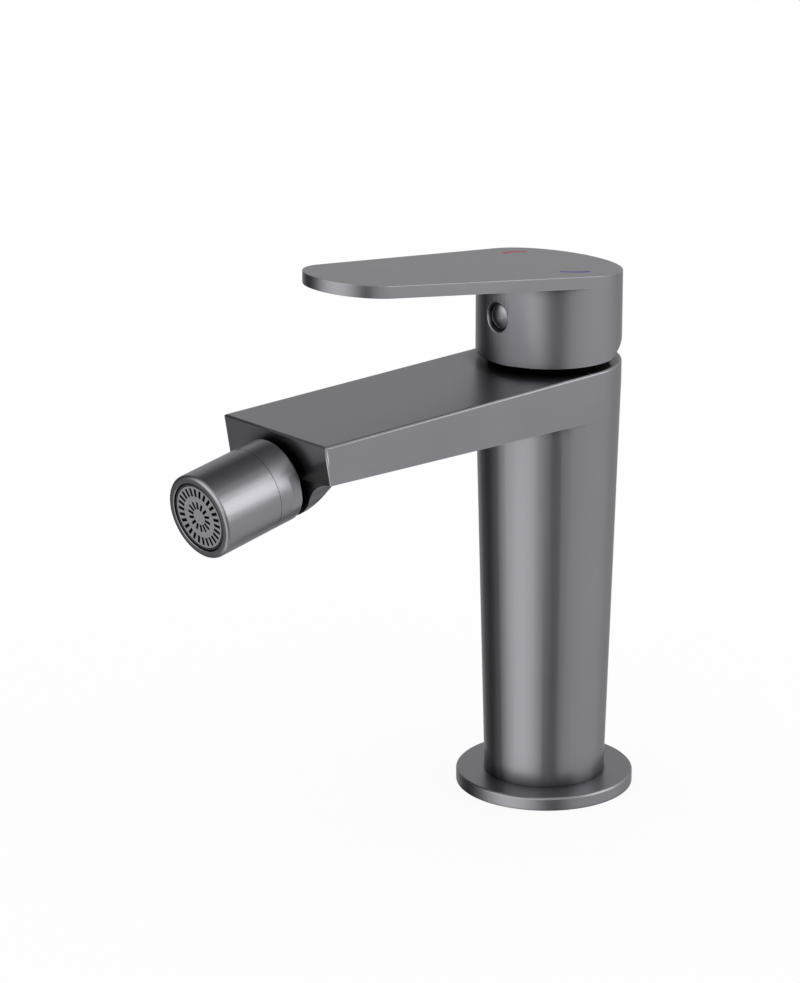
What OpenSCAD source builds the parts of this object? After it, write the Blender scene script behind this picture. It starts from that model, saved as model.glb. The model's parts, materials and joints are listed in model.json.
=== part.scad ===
// Single-lever bidet mixer with a ball-jointed outlet. Millimetres, Z up.
// The origin is on the deck, at the middle of the round flange, and the spout points along -Y.

/* [Base] */
// Diameter of the flange that stands on the deck
flange_d = 52; // [50:1:60]
// Thickness of the flange
flange_h = 4; // [3.6:0.2:6]
// Width of the bevel round the flange's top edge
flange_edge = 0.5; // [0.2:0.1:1]
// Depth of the gasket in the underside of the flange
gasket_h = 2.4; // [1.4:0.1:2.8]
// Radial width of the gasket
gasket_w = 4; // [3:0.5:5]

/* [Body] */
// Diameter of the column where it stands on the flange
foot_d = 35.3; // [34.5:0.1:38]
// Diameter of the column's head, and of the lever's hub
head_d = 42; // [41.6:0.2:46]
// Height where the column's taper ends
taper_top = 124; // [122:1:127]
// Height of the flat top of the body above the deck
body_h = 130; // [126:1:180]
// Wall of the hollow column
column_wall = 2.6; // [2.2:0.1:3]
// Width of the fine bevel along the body's top edges
top_edge = 0.5; // [0.2:0.1:1]

/* [Spout] */
// Reach of the spout's top edge from the column's axis
spout_reach = 104.9; // [90:1:150]
// Height of the spout's side at the column's axis
spout_root_h = 14.6; // [14:0.1:16]
// Height of the spout's side at its front
spout_tip_h = 11.3; // [10.8:0.1:12.4]
// Radius of the round down the front corners
corner_edge = 0.6; // [0.4:0.1:1.5]
// Radius of the fillet between the column and the spout's underside
root_fillet = 2; // [1:0.5:3]
// Wall left under the waterway
water_wall = 1.5; // [1.2:0.1:1.8]
// Height of the waterway
water_h = 4.4; // [3.6:0.1:4.6]
// Width of the waterway
water_w = 14; // [8:1:20]

/* [Swivel outlet] */
// Angle of the swivel axis below level, which is also how far the spout's front leans back
swivel_dip = 10.3; // [8:0.1:12]
// Depth of the swivel axis below the spout's top, at the front
swivel_drop = 13.3; // [13:0.1:14]
// Radius of the chin round the swivel socket
chin_r = 11.8; // [11:0.1:12.5]
// Radius of the hollow sweeps from the chin to the spout's sides
chin_sweep_r = 12; // [10:0.5:14]
// Height that the chin's lowest edge keeps below the slope that cuts it away
chin_lip = 0.8; // [0.4:0.1:1.2]
// Angle between the chin's sloping underside and the swivel axis
chin_slope = 41.7; // [38:0.1:44]
// Radius of the socket for the ball's shank
socket_r = 4.6; // [4.3:0.1:4.8]
// Depth of that socket
socket_depth = 5.8; // [5:0.1:6]
// Diameter of the outlet barrel at its mouth
barrel_d = 24.2; // [24:0.1:27]
// Distance from the spout's front to the barrel's mouth
mouth_reach = 30.1; // [30:0.1:36]
// Gap between the spout's front and the barrel's collar
swivel_gap = 2.4; // [2.4:0.1:4]
// Length of the collar that shows behind the barrel
collar_l = 8.1; // [7.4:0.1:8.4]
// Radius of the ball
ball_r = 7.2; // [7:0.1:7.4]
// Play round the ball in its seats
ball_play = 0.08; // [0.05:0.01:0.1]
// Distance across the collar's two spanner flats
flats_w = 22; // [21.4:0.1:23]
// Length of the spanner flats
flats_l = 3.8; // [3:0.1:5]

/* [Aerator] */
// Radius of the threaded bore that takes the aerator
aerator_r = 9.6; // [9.3:0.1:9.8]
// Depth of the aerator's face behind the mouth
face_depth = 0.4; // [0.3:0.1:2]
// Number of slots in the face's outer row
outer_slots = 26; // [18:1:32]
// Number of slots in the face's inner row
inner_slots = 14; // [8:1:18]
// Thickness of the aerator's face
face_t = 1.8; // [1.2:0.1:3]

/* [Cartridge] */
// Diameter of the cartridge's clamping shoulder
cartridge_d = 35; // [34.6:0.1:35.6]
// Height of the shoulder's top above the cartridge's bottom
seat_h = 22.2; // [21.6:0.1:23]
// Thickness of the clamping shoulder
shoulder_t = 2.8; // [2.6:0.1:3.2]
// Length of the clamping nut's thread in the body
nut_thread_h = 4.8; // [4.2:0.1:5]
// Height of the clamping nut's collar above the body
nut_collar_h = 3; // [2:0.1:3.2]
// Thickness of the fixed ceramic disc
fixed_t = 3.2; // [2.8:0.1:3.6]
// Thickness of the sliding ceramic disc
sliding_t = 3.4; // [3:0.1:3.6]
// Thickness of the carrier on the sliding disc
carrier_t = 3.8; // [3.4:0.1:4]
// Diameter of the sliding disc
sliding_d = 19.6; // [19:0.1:20]
// Angle that the lever lifts through
lift_angle = 22; // [18:1:22]
// Angle that the lever turns to each side
turn_angle = 45; // [30:1:50]
// Height of the lever's pivot above the spindle's ball tip
spindle_arm = 12; // [11:0.1:12.2]
// Width of the square on top of the spindle
square_w = 8; // [7.5:0.1:8.5]

/* [Lever] */
// Gap between the body's top and the hub
hub_gap = 2.3; // [2:0.1:3]
// Height of the lever's top above the body's top, on the axis
lever_rise = 28.2; // [27.6:0.1:32]
// Slope of the lever plate, up towards its tip
lever_slope = 7.6; // [5:0.1:9]
// Thickness of the lever plate
lever_t = 3.54; // [3:0.1:4.5]
// Distance from the axis to the tip of the lever
lever_reach = 89; // [70:1:120]
// Diameter of the lever's rounded tip
tip_d = 30.8; // [24:0.2:36]
// Angle of the bevel under the back of the hub, which clears the body
heel_angle = 22; // [20:1:24]
// Distance behind the axis where that bevel starts
heel_start = 4.5; // [4:0.1:5]
// Height of the set screw above the body's top
screw_rise = 15.7; // [15:0.1:16.5]
// Radius of the plug over the set screw
plug_r = 3.5; // [3:0.1:4]

/* [Hidden] */
$fn = 96;

// Clearances and the overlap that lets a cut run past a face
fit = 0.05;
slip = 0.1;
past = 1;

// Base and column: the spigot under the column sits in the flange, and the gasket outside it
foot_r = foot_d / 2;
head_r = head_d / 2;
cavity_r = foot_r - column_wall;
spigot_wall = 1.35;
spigot_r = cavity_r + spigot_wall;
spigot_z = 1.2;
gasket_land = 3.2;
gasket_r = spigot_r + gasket_land;

// Levels of the cartridge, from the body's top down to its floor and up again
shoulder_z = body_h - nut_thread_h;
floor_z = shoulder_z - seat_h;
floor_t = 11;
cavity_top = floor_z - floor_t;
base_low_h = 5.5;
base_h = 9.6;
seal_proud = 0.15;
film = 0.02;
rotor_play = 0.28;
lid_play = 0.15;
fixed_z = floor_z + base_h + seal_proud;
sliding_z = fixed_z + fixed_t + film;
carrier_z = sliding_z + sliding_t;
rotor_z = carrier_z + carrier_t + rotor_play;
rotor_t = 3.85;
lid_z = rotor_z + rotor_t + lid_play;
lid_t = 1.55;
housing_top = lid_z + lid_t;
limit_t = 2;
limit_r = 12.5;
limit_notches = 24;
notch_w = 1;
notch_depth = 0.8;
tab_half = 8;
tab_r = 8.9;
tab_play = 0.5;

// Radii of the cartridge and of the chamber that holds it
chamber_r = cartridge_d / 2 + fit;
shoulder_r = cartridge_d / 2 - fit;
thread_depth = 0.65;
nut_r = cartridge_d / 2 + thread_depth;
nut_land = 2.5;
nut_bore_r = shoulder_r - nut_land;
nut_step = 0.5;
nut_collar_r = nut_r - nut_step;
nut_slots = 6;
nut_slot_w = 3;
nut_slot_depth = 2.5;
groove_depth = 1.45;
groove_edge = 0.6;
housing_seal_r = 0.72;
casing_step = 2.55;
casing_wall = 1.2;
casing_r = shoulder_r - casing_step;
casing_bore_r = casing_r - casing_wall;
neck_r = 8.95;
neck_top_r = 8.2;
sliding_r = sliding_d / 2;

// Lever motion: the pivot, and the disc's travel that goes with the lift
tip_rise = 2.63;
pivot_z = carrier_z + tip_rise + spindle_arm;
half_lift = lift_angle / 2;
disc_offset = spindle_arm * sin(half_lift);
ball_tip_r = 2.2;
arm_r = 1.7;
pin_r = 1.75;
slot_half = 3.6;
eye_r = 4.2;
web_half = 3;
square_rise = 5.5;
arm_swing = 4.7;
lug_w = 11;
lug_lift = 0.25;
carrier_half = 9;
cheek_rise = 3.4;
neck_top = pivot_z + cheek_rise;
pin_inset = 0.4;

// Ports of the cartridge, and the hose threads under its floor
port_x = 4.8;
port_y = -3.4;
port_r = 1.8;
outlet_y = 5;
outlet_r = 2.6;
seal_w = 1.1;
hose_x = 6.5;
hose_y = -4;
hose_thread_r = 4.5;
hose_thread_l = 8.5;
peg_r = 1.4;
peg_x = 9;
peg_y = 7;
peg_h = 1.8;
seal_h = 1;
window_r = 1.9;
window_turns = [-45, 0, 45];
pocket_y = -3.2;
pocket_rim = 1.5;
pocket_depth = 1.5;
key_y = 6.5;
key_r = 1;
key_h = 1.2;

// Fixing stud
stud_inset = 4;
stud_y = cavity_r - stud_inset;
stud_r = 3.4;
stud_boss_r = 5;
stud_boss_top = 26;
stud_depth = 20;

// Spout: heights of its underside and the lean of its front
under_slope = (spout_root_h - spout_tip_h) / spout_reach;
under_angle = atan(under_slope);
water_front = 4;
fillet_lap = 0.3;
chin_inset = 0.3;
function under_z(y) = body_h - spout_root_h - under_slope * y;
function face_y(z) = -spout_reach + (body_h - z) * tan(swivel_dip);
function column_r(z) = z > taper_top ? head_r
    : foot_r + (head_r - foot_r) * (z - flange_h) / (taper_top - flange_h);
tip_under_y = (-spout_reach + spout_root_h * tan(swivel_dip)) / (1 - under_slope * tan(swivel_dip));

// Swivel axis: a point on the spout's front, and stations along the axis from there
swivel_z = body_h - swivel_drop;
swivel_y = face_y(swivel_z);
collar_start = swivel_gap;
seam = swivel_gap + collar_l;
ball_inset = 0.2;
ball_x = seam - ball_inset;
barrel_r = barrel_d / 2;
collar_step = 0.1;
collar_r = barrel_r - collar_step;
seat_r = ball_r + ball_play;
seat_lip = 1;
collar_hole_r = ball_r - seat_lip;
seat_hole_r = collar_hole_r - 0.3;
stem_neck_r = 4.2;
stem_bore_r = 2.6;
stem_flange_r = 6;
stem_flange_t = 0.8;
ball_front = 4.6;
ball_seal_x = 1.7;
ball_seal_r = 0.8;
ball_seal_ring = sqrt(pow(seat_r - film - ball_seal_r, 2) - pow(ball_seal_x, 2));
stem_seal_r = 0.6;
stem_seal_z = -4.4;
thread_r = 10.6;
thread_l = 4;
insert_r = 9.2;
insert_l = 5.2;
insert_end = seam + insert_l;
rim_round = 1;

// Stations of the aerator, back from the mouth
washer_t = 1.4;
web_t = 1.2;
web_bore_r = 6.6;
face_z = mouth_reach - face_depth - face_t;
washer_z = insert_end + web_t;
aerator_z = washer_z + washer_t;
aerator_out_r = aerator_r - fit;
aerator_wall = 0.5;
ledge_t = 1;
aerator_in_r = aerator_out_r - aerator_wall;
regulator_t = 3;
regulator_holes = 10;
regulator_hole_r = 0.8;
regulator_row_r = 5.4;
regulator_boss_r = 2;
screen_bars = 2;
screen_bar = 0.5;
screen_wall = 0.7;
screen_levels = [0.3, 0.7];
mouth_step = 0.3;
mouth_step_l = 1.2;
ledge_w = 1.2;
ledge_r = aerator_in_r - ledge_w;

// Slots of the aerator's face
face_centre_r = 2.3;
face_ring_r = 4.45;
face_ring_w = 1.6;
face_rim = 0.55;
face_slot = 0.9;
face_inner_slot = 0.8;

// Lever: hub, plate and the outline's tangent points
hub_z = body_h + hub_gap;
hub_r = head_r;
ceiling_rise = 7;
ceiling_z = pivot_z + ceiling_rise;
skirt_gap = 0.55;
skirt_r = nut_collar_r + skirt_gap;
lever_z = body_h + lever_rise;
tip_r = tip_d / 2;
tip_y = -(lever_reach - tip_r);
taper_side = asin((hub_r - tip_r) / -tip_y);
chord_y = -hub_r * sin(taper_side);
rise = tan(lever_slope);
plate_drop = lever_t / cos(lever_slope);
screw_z = body_h + screw_rise;
screw_r = 2.45;
screw_l = 8;
socket_hex_r = 1.45;
socket_hex_l = 2.5;
plug_depth = 3.5;
plug_inset = 0.7;
plug_seat = hub_r - plug_depth;
plug_face = hub_r - plug_inset;
plug_chamfer = 1.1;
square_l = 9.5;
square_top = ceiling_z + square_l;

// Temperature marks on the lever's top
mark_r = 14.8;
mark_w = 1.6;
mark_t = 0.3;
mark_sweep = 40;
hot_turn = 181;
cold_turn = -14;

// A solid round bar from one height to another
module bar(r, z0, z1) {
    translate([0, 0, z0]) cylinder(r = r, h = z1 - z0);
}

// A ring of rectangular section
module ring(r_out, r_in, z0, z1) {
    difference() {
        bar(r_out, z0, z1);
        bar(r_in, z0 - past, z1 + past);
    }
}

// A rubber ring of round section
module o_ring(r, wire_r, z) {
    translate([0, 0, z]) rotate_extrude() translate([r, 0]) circle(r = wire_r, $fn = 32);
}

// Places a child at both inlet ports, or at the centres that are given
module at_pair(x, y) {
    for (side = [-1, 1]) translate([side * x, y, 0]) children();
}

// Stands a child on the spout's front, with its Z along the swivel axis and its Y up the front
module on_swivel() {
    translate([0, swivel_y, swivel_z]) rotate([90 + swivel_dip, 0, 0]) children();
}

// Base: a flange with a gasket let into its underside
module base_ring() {
    color("dimgray") difference() {
        rotate_extrude() polygon([
            [spigot_r + slip, 0], [flange_d / 2, 0], [flange_d / 2, flange_h - flange_edge],
            [flange_d / 2 - flange_edge, flange_h], [spigot_r + slip, flange_h]
        ]);
        ring(gasket_r + gasket_w + fit, gasket_r - fit, -past, gasket_h);
    }
}

module base_gasket() {
    color("black") ring(gasket_r + gasket_w, gasket_r, 0, gasket_h);
}

// Column of the body: a taper that ends in a short cylinder
module column() {
    rotate_extrude() polygon([
        [0, flange_h], [foot_r, flange_h], [head_r, taper_top],
        [head_r, body_h - top_edge], [head_r - top_edge, body_h], [0, body_h]
    ]);
}

// Cross-section of the spout: its sides carry on the column's taper, so they meet it flush
module spout_section() {
    low = body_h - spout_root_h - past;
    polygon([
        [-column_r(low), low], [-head_r, taper_top], [-head_r, body_h - top_edge],
        [-head_r + top_edge, body_h], [head_r - top_edge, body_h],
        [head_r, body_h - top_edge], [head_r, taper_top], [column_r(low), low]
    ]);
}

// Side view of the spout: level top, rising underside and a front that leans back
module spout_profile() {
    edge_y = face_y(body_h - top_edge);
    polygon([
        [0, under_z(0)], [tip_under_y, under_z(tip_under_y)], [edge_y, body_h - top_edge],
        [edge_y + top_edge, body_h], [0, body_h]
    ]);
}

// What is taken off one front corner to leave it round
module corner_waste(side) {
    size = corner_edge + past;
    difference() {
        translate([side < 0 ? -size : 0, 0]) square(size);
        circle(r = corner_edge);
    }
}

module spout_block() {
    inside = head_r - corner_edge;
    difference() {
        intersection() {
            rotate([90, 0, 0]) linear_extrude(height = spout_reach + past) spout_section();
            rotate([90, 0, 90]) linear_extrude(height = head_d + 2 * past, center = true) spout_profile();
        }
        on_swivel() for (side = [-1, 1])
            translate([side * inside, 0, -corner_edge]) rotate([90, 0, 0])
                linear_extrude(height = 2 * head_d, center = true) corner_waste(side);
    }
}

// Fillet where the spout's underside meets the front of the column
module root_fillet() {
    top = under_z(-head_r);
    wall = column_r(top - root_fillet);
    intersection() {
        rotate_extrude() difference() {
            translate([wall - past, top - root_fillet])
                square([root_fillet + past, root_fillet + fillet_lap]);
            translate([wall + root_fillet, top - root_fillet]) circle(r = root_fillet);
        }
        translate([fillet_lap - wall, -2 * wall, 0])
            cube([2 * (wall - fillet_lap), 2 * wall, body_h]);
    }
}

// Outline of the chin, seen along the swivel axis: a round boss with hollow sweeps to the sides
module chin_outline() {
    edge = (under_z(tip_under_y) - swivel_z) / cos(swivel_dip);
    sweep_y = edge - chin_sweep_r;
    sweep_x = sqrt(pow(chin_r + chin_sweep_r, 2) - pow(sweep_y, 2));
    touch_y = sweep_y * chin_r / (chin_r + chin_sweep_r);
    half = min(sweep_x, head_r - corner_edge - chin_inset);
    intersection() {
        union() {
            circle(r = chin_r);
            difference() {
                translate([-half, touch_y + fit]) square([2 * half, edge - touch_y + past]);
                for (side = [-1, 1]) translate([side * sweep_x, sweep_y]) circle(r = chin_sweep_r);
            }
        }
        translate([-head_r, -2 * chin_r]) square([head_d, 2 * chin_r + edge + past]);
    }
}

// The chin runs back along the swivel axis and is cut away by a slope under it
module chin() {
    reach = 2 * chin_r;
    on_swivel() difference() {
        translate([0, 0, -reach]) linear_extrude(height = reach) chin_outline();
        translate([0, chin_lip - chin_r, 0]) rotate([chin_slope, 0, 0])
            translate([-head_d, -2 * head_d, -head_d]) cube(2 * head_d);
    }
}

// Waterway from the cartridge's chamber to the swivel socket, parallel to the spout's underside
module waterway() {
    start_y = chamber_r - past;
    corner = water_h / 4;
    w = water_w / 2;
    h = water_h / 2;
    translate([0, 0, under_z(0) + water_wall + h]) rotate([90 - under_angle, 0, 0])
        translate([0, 0, start_y])
            linear_extrude(height = -swivel_y - water_front - start_y) polygon([
                [-w, corner - h], [corner - w, -h], [w - corner, -h], [w, corner - h],
                [w, h - corner], [w - corner, h], [corner - w, h], [-w, h - corner]
            ]);
}

// Body: column, spout and chin in one casting, hollow below for the hoses
module body() {
    color("dimgray") difference() {
        union() {
            difference() {
                union() {
                    column();
                    spout_block();
                    root_fillet();
                    chin();
                    bar(spigot_r, spigot_z, flange_h + past);
                }
                bar(cavity_r, spigot_z - past, cavity_top);
            }
            translate([0, stud_y, 0]) bar(stud_boss_r, spigot_z, stud_boss_top);
        }
        translate([0, stud_y, 0]) bar(stud_r, spigot_z - past, spigot_z + stud_depth);
        bar(chamber_r, floor_z, body_h + past);
        bar(nut_r + fit, shoulder_z, body_h + past);
        at_pair(hose_x, hose_y) bar(hose_thread_r, cavity_top - past, cavity_top + hose_thread_l);
        at_pair(port_x, port_y) bar(port_r, cavity_top, floor_z + past);
        at_pair(peg_x, peg_y) bar(peg_r + slip, floor_z - peg_h - slip, floor_z + past);
        waterway();
        on_swivel() bar(socket_r, -socket_depth, past);
    }
}

// Cartridge base: two inlets, an outlet that leaves through side windows, and two locating pegs
module cartridge_base() {
    top = floor_z + base_h;
    color("whitesmoke") difference() {
        union() {
            bar(casing_r, floor_z, floor_z + base_low_h);
            bar(casing_bore_r - slip, floor_z, top);
            at_pair(peg_x, peg_y) bar(peg_r, floor_z - peg_h, floor_z + past);
        }
        at_pair(port_x, port_y) {
            bar(port_r, floor_z - past, top + past);
            bar(port_r + seal_w + slip, floor_z - past, floor_z + seal_h);
            bar(port_r + seal_w + slip, top - seal_h, top + past);
        }
        translate([0, outlet_y, 0]) {
            bar(outlet_r, floor_z + past, top + past);
            bar(outlet_r + seal_w + slip, top - seal_h, top + past);
            for (turn = window_turns) rotate([-90, 0, turn])
                translate([0, -floor_z - base_low_h / 2 - slip, 0]) cylinder(r = window_r, h = casing_r);
        }
    }
}

module inlet_seals() {
    color("black") at_pair(port_x, port_y) ring(port_r + seal_w, port_r + slip, floor_z, floor_z + seal_h);
}

module port_seals() {
    low = floor_z + base_h - seal_h;
    color("black") {
        at_pair(port_x, port_y) ring(port_r + seal_w, port_r + slip, low, fixed_z);
        translate([0, outlet_y, 0]) ring(outlet_r + seal_w, outlet_r + slip, low, fixed_z);
    }
}

// Fixed ceramic disc with its two inlet ports and its outlet port
module fixed_disc() {
    color("white") difference() {
        bar(casing_bore_r - slip, fixed_z, fixed_z + fixed_t);
        at_pair(port_x, port_y) bar(port_r, fixed_z - past, fixed_z + fixed_t + past);
        translate([0, outlet_y, 0]) bar(outlet_r, fixed_z - past, fixed_z + fixed_t + past);
    }
}

// Sliding ceramic disc: a mixing pocket in its underside joins the inlets to the outlet
module sliding_disc() {
    color("white") translate([0, disc_offset, 0]) difference() {
        bar(sliding_r, sliding_z, carrier_z);
        intersection() {
            bar(sliding_r - pocket_rim, sliding_z - past, sliding_z + pocket_depth);
            translate([-sliding_r, pocket_y, sliding_z - past]) cube([sliding_d, sliding_d, 2 * sliding_t]);
        }
        for (side = [-1, 1]) translate([0, side * key_y, 0])
            bar(key_r + fit, carrier_z - key_h - slip, carrier_z + past);
    }
}

// Carrier: keyed to the sliding disc, flat-sided to slide between the rotor's lugs
module disc_carrier() {
    color("royalblue") translate([0, disc_offset, 0]) difference() {
        union() {
            intersection() {
                bar(sliding_r, carrier_z, carrier_z + carrier_t);
                translate([-carrier_half, -sliding_d, carrier_z - past])
                    cube([2 * carrier_half, 2 * sliding_d, 2 * carrier_t]);
            }
            for (side = [-1, 1]) translate([0, side * key_y, 0])
                bar(key_r, carrier_z - key_h, carrier_z + past);
        }
        bar(ball_tip_r + slip, carrier_z - past, carrier_z + carrier_t + past);
    }
}

// A round bar along X through the lever's pivot
module across(r, length) {
    translate([0, 0, pivot_z]) rotate([0, 90, 0]) cylinder(r = r, h = length, center = true);
}

// A block round the cartridge's neck, this many degrees to each side of the back
module sector(half, r, z0, z1) {
    inner = neck_top_r - past;
    translate([0, 0, z0]) rotate([0, 0, 90 - half]) rotate_extrude(angle = 2 * half)
        translate([inner, 0]) square([r - inner, z1 - z0]);
}

// Rotor: turns in the housing, holds the spindle's pin between two cheeks and guides the carrier
module rotor() {
    top = rotor_z + rotor_t;
    lug_z = carrier_z + lug_lift;
    color("ivory") difference() {
        union() {
            bar(casing_bore_r - slip, rotor_z, top);
            bar(neck_r, rotor_z, housing_top - slip);
            bar(neck_top_r, rotor_z, neck_top);
            sector(tab_half, tab_r, housing_top + slip, housing_top + limit_t - slip);
            intersection() {
                bar(casing_bore_r - slip, lug_z, top);
                for (side = [-1, 1])
                    translate([side * (carrier_half + slip + casing_r / 2), 0, lug_z + carrier_t])
                        cube([casing_r, lug_w, 2 * carrier_t], center = true);
            }
        }
        translate([-slot_half, -arm_swing, rotor_z - past])
            cube([2 * slot_half, 2 * arm_swing, neck_top]);
        translate([-slot_half, -neck_r - past, top])
            cube([2 * slot_half, 2 * (neck_r + past), neck_top]);
        across(pin_r + film, 4 * neck_r);
    }
}

// Housing: clips over the base and carries the clamping shoulder with its sealing ring
module cartridge_housing() {
    low = shoulder_z - shoulder_t;
    color("whitesmoke") difference() {
        union() {
            bar(casing_r, floor_z + base_low_h, shoulder_z);
            bar(shoulder_r, low, shoulder_z);
            bar(casing_r - slip, shoulder_z - past, housing_top);
        }
        ring(shoulder_r + past, shoulder_r - groove_depth, low + groove_edge, shoulder_z - groove_edge);
        bar(casing_bore_r, floor_z, lid_z);
        bar(neck_r + fit, floor_z, housing_top + past);
    }
}

module housing_seal() {
    color("black") o_ring(chamber_r - film - housing_seal_r, housing_seal_r, shoulder_z - shoulder_t / 2);
}

// Limit ring: a notched ring on the housing whose cut-out stops the rotor's tab at each side
module limit_ring() {
    top = housing_top + limit_t;
    color("orangered") difference() {
        ring(limit_r, neck_top_r + slip, housing_top, top);
        sector(turn_angle + tab_half + tab_play, tab_r + slip, housing_top - past, top + past);
        for (i = [0 : limit_notches - 1]) rotate([0, 0, i * 360 / limit_notches])
            translate([limit_r, 0, top]) cube([2 * notch_depth, notch_w, 4 * limit_t], center = true);
    }
}

// Clamping nut: threaded into the body, with spanner slots in the collar that stands above it
module cartridge_nut() {
    top = body_h + nut_collar_h;
    color("goldenrod") difference() {
        union() {
            bar(nut_r, shoulder_z, body_h);
            bar(nut_collar_r, shoulder_z, top);
        }
        bar(nut_bore_r, shoulder_z - past, top + past);
        for (i = [0 : nut_slots - 1]) rotate([0, 0, i * 360 / nut_slots])
            translate([nut_collar_r, 0, top])
                cube([nut_collar_r / 2, nut_slot_w, 2 * nut_slot_depth], center = true);
    }
}

// Spindle: a ball-tipped arm that leans half the lift, an eye on the pin and a square for the lever
module spindle() {
    square_z = pivot_z + square_rise;
    half = slot_half - slip;
    color("silver") difference() {
        union() {
            across(eye_r, 2 * half);
            translate([0, 0, pivot_z]) rotate([half_lift, 0, 0]) translate([0, 0, -spindle_arm]) {
                cylinder(r = arm_r, h = spindle_arm);
                sphere(r = ball_tip_r);
            }
            translate([-half, -web_half, pivot_z])
                cube([2 * half, 2 * web_half, square_rise + past]);
            translate([-square_w / 2, -square_w / 2, square_z])
                cube([square_w, square_w, square_top - square_z]);
        }
        across(pin_r + fit, 4 * neck_r);
    }
}

module spindle_pin() {
    color("silver") across(pin_r, 2 * (neck_top_r - pin_inset));
}

// Outline of the plate in front of the hub's widest line: straight sides and a round tip
module plate_outline() {
    side_y = tip_y - tip_r * sin(taper_side);
    lap = 0.3;
    polygon([
        [-hub_r * cos(taper_side), chord_y], [-hub_r / 2, chord_y + hub_r * lap],
        [hub_r / 2, chord_y + hub_r * lap], [hub_r * cos(taper_side), chord_y],
        [tip_r * cos(taper_side), side_y], [tip_r / 2, side_y - tip_r * lap],
        [-tip_r / 2, side_y - tip_r * lap], [-tip_r * cos(taper_side), side_y]
    ]);
    intersection() {
        translate([0, tip_y]) circle(r = tip_r);
        translate([-tip_r, side_y - tip_d]) square([tip_d, tip_d]);
    }
}

// Side view of the lever plate, which rises towards the tip
module plate_profile() {
    back = hub_r + past;
    tip = -lever_reach - past;
    polygon([
        [back, lever_z - rise * back], [tip, lever_z - rise * tip],
        [tip, lever_z - rise * tip - plate_drop], [back, lever_z - rise * back - plate_drop]
    ]);
}

// Side view of the hub: level in front and bevelled up at the back, with its top this far down
module hub_profile(drop) {
    far = hub_r + past;
    polygon([
        [-far, hub_z], [heel_start, hub_z], [far, hub_z + (far - heel_start) * tan(heel_angle)],
        [far, lever_z - rise * far - drop], [-far, lever_z + rise * far - drop]
    ]);
}

// Carries a side view right across the lever
module sideways() {
    rotate([90, 0, 90]) linear_extrude(height = head_d + 4 * past, center = true) children();
}

// The part of the hub between two distances from the axis
module hub_part(from_y, to_y, drop) {
    intersection() {
        bar(hub_r, hub_z, lever_z + hub_r);
        translate([-head_d, from_y, 0]) cube([2 * head_d, to_y - from_y, 2 * lever_z]);
        sideways() hub_profile(drop);
    }
}

// The back of the hub runs up to the lever's top, and its front ends under the plate
module lever_blank() {
    hub_part(chord_y, hub_r + past, 0);
    hub_part(-hub_r - past, chord_y, plate_drop);
    intersection() {
        translate([0, 0, hub_z]) linear_extrude(height = lever_rise + lever_reach) plate_outline();
        sideways() plate_profile();
    }
}

// Places a child in the plane of the lever's top, with Z out of it
module on_lever_top() {
    translate([0, 0, lever_z]) rotate([-lever_slope, 0, 0]) children();
}

// A short arc in the lever's top, centred on an angle round the hub: the enamel, or a taller cut for it
module mark(turn, height) {
    on_lever_top() rotate([0, 0, turn - mark_sweep / 2]) rotate_extrude(angle = mark_sweep)
        translate([mark_r - mark_w / 2, -mark_t]) square([mark_w, height]);
}

// Places a child at the set screw's height, with Z along its axis and out of the hub's front
module on_screw() {
    translate([0, 0, screw_z]) rotate([90, 0, 0]) children();
}

// Lever: a hollow hub and a flat tapering plate in one casting
module lever() {
    hole_r = plug_r + slip;
    color("dimgray") difference() {
        lever_blank();
        bar(skirt_r, hub_z - past, ceiling_z);
        translate([-square_w / 2 - fit, -square_w / 2 - fit, ceiling_z - past])
            cube([square_w + 2 * fit, square_w + 2 * fit, square_top - ceiling_z + past + slip]);
        on_screw() {
            bar(screw_r + fit, 0, hub_r);
            bar(hole_r, plug_seat, hub_r + past);
            translate([0, 0, hub_r - plug_chamfer])
                cylinder(r1 = hole_r, r2 = hole_r + 2 * plug_chamfer, h = 2 * plug_chamfer);
        }
        mark(hot_turn, mark_t + past);
        mark(cold_turn, mark_t + past);
    }
}

module set_screw() {
    start = square_w / 2;
    color("darkgray") on_screw() difference() {
        bar(screw_r, start, start + screw_l);
        translate([0, 0, start + screw_l - socket_hex_l])
            cylinder(r = socket_hex_r, h = socket_hex_l + past, $fn = 6);
    }
}

module screw_plug() {
    dome_r = 3 * plug_r;
    color("dimgray") on_screw() intersection() {
        bar(plug_r, plug_seat, plug_face);
        translate([0, 0, plug_face - dome_r]) sphere(r = dome_r);
    }
}

module hot_mark() {
    color("firebrick") mark(hot_turn, mark_t);
}

module cold_mark() {
    color("mediumblue") mark(cold_turn, mark_t);
}

// Ball stem: a hollow shank, a flange on the spout's front, a neck and the ball
module ball_stem() {
    ball_groove = ball_seal_r + film;
    stem_groove = stem_seal_r + film;
    color("dimgray") on_swivel() difference() {
        union() {
            bar(socket_r - fit, slip - socket_depth, past);
            bar(stem_flange_r, 0, stem_flange_t);
            bar(stem_neck_r, 0, ball_x);
            intersection() {
                translate([0, 0, ball_x]) sphere(r = ball_r);
                bar(ball_r + past, ball_x - ball_r, ball_x + ball_front);
            }
        }
        bar(stem_bore_r, -socket_depth, ball_x + ball_r);
        translate([0, 0, ball_x + ball_seal_x])
            ring(ball_r + past, ball_seal_ring - ball_groove, -ball_groove, ball_groove);
        translate([0, 0, stem_seal_z])
            ring(socket_r + past, socket_r - 2 * stem_groove, -stem_groove, stem_groove);
    }
}

module stem_seal() {
    color("black") on_swivel() o_ring(socket_r - film - stem_seal_r, stem_seal_r, stem_seal_z);
}

module ball_seal() {
    color("black") on_swivel() o_ring(ball_seal_ring, ball_seal_r, ball_x + ball_seal_x);
}

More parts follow.
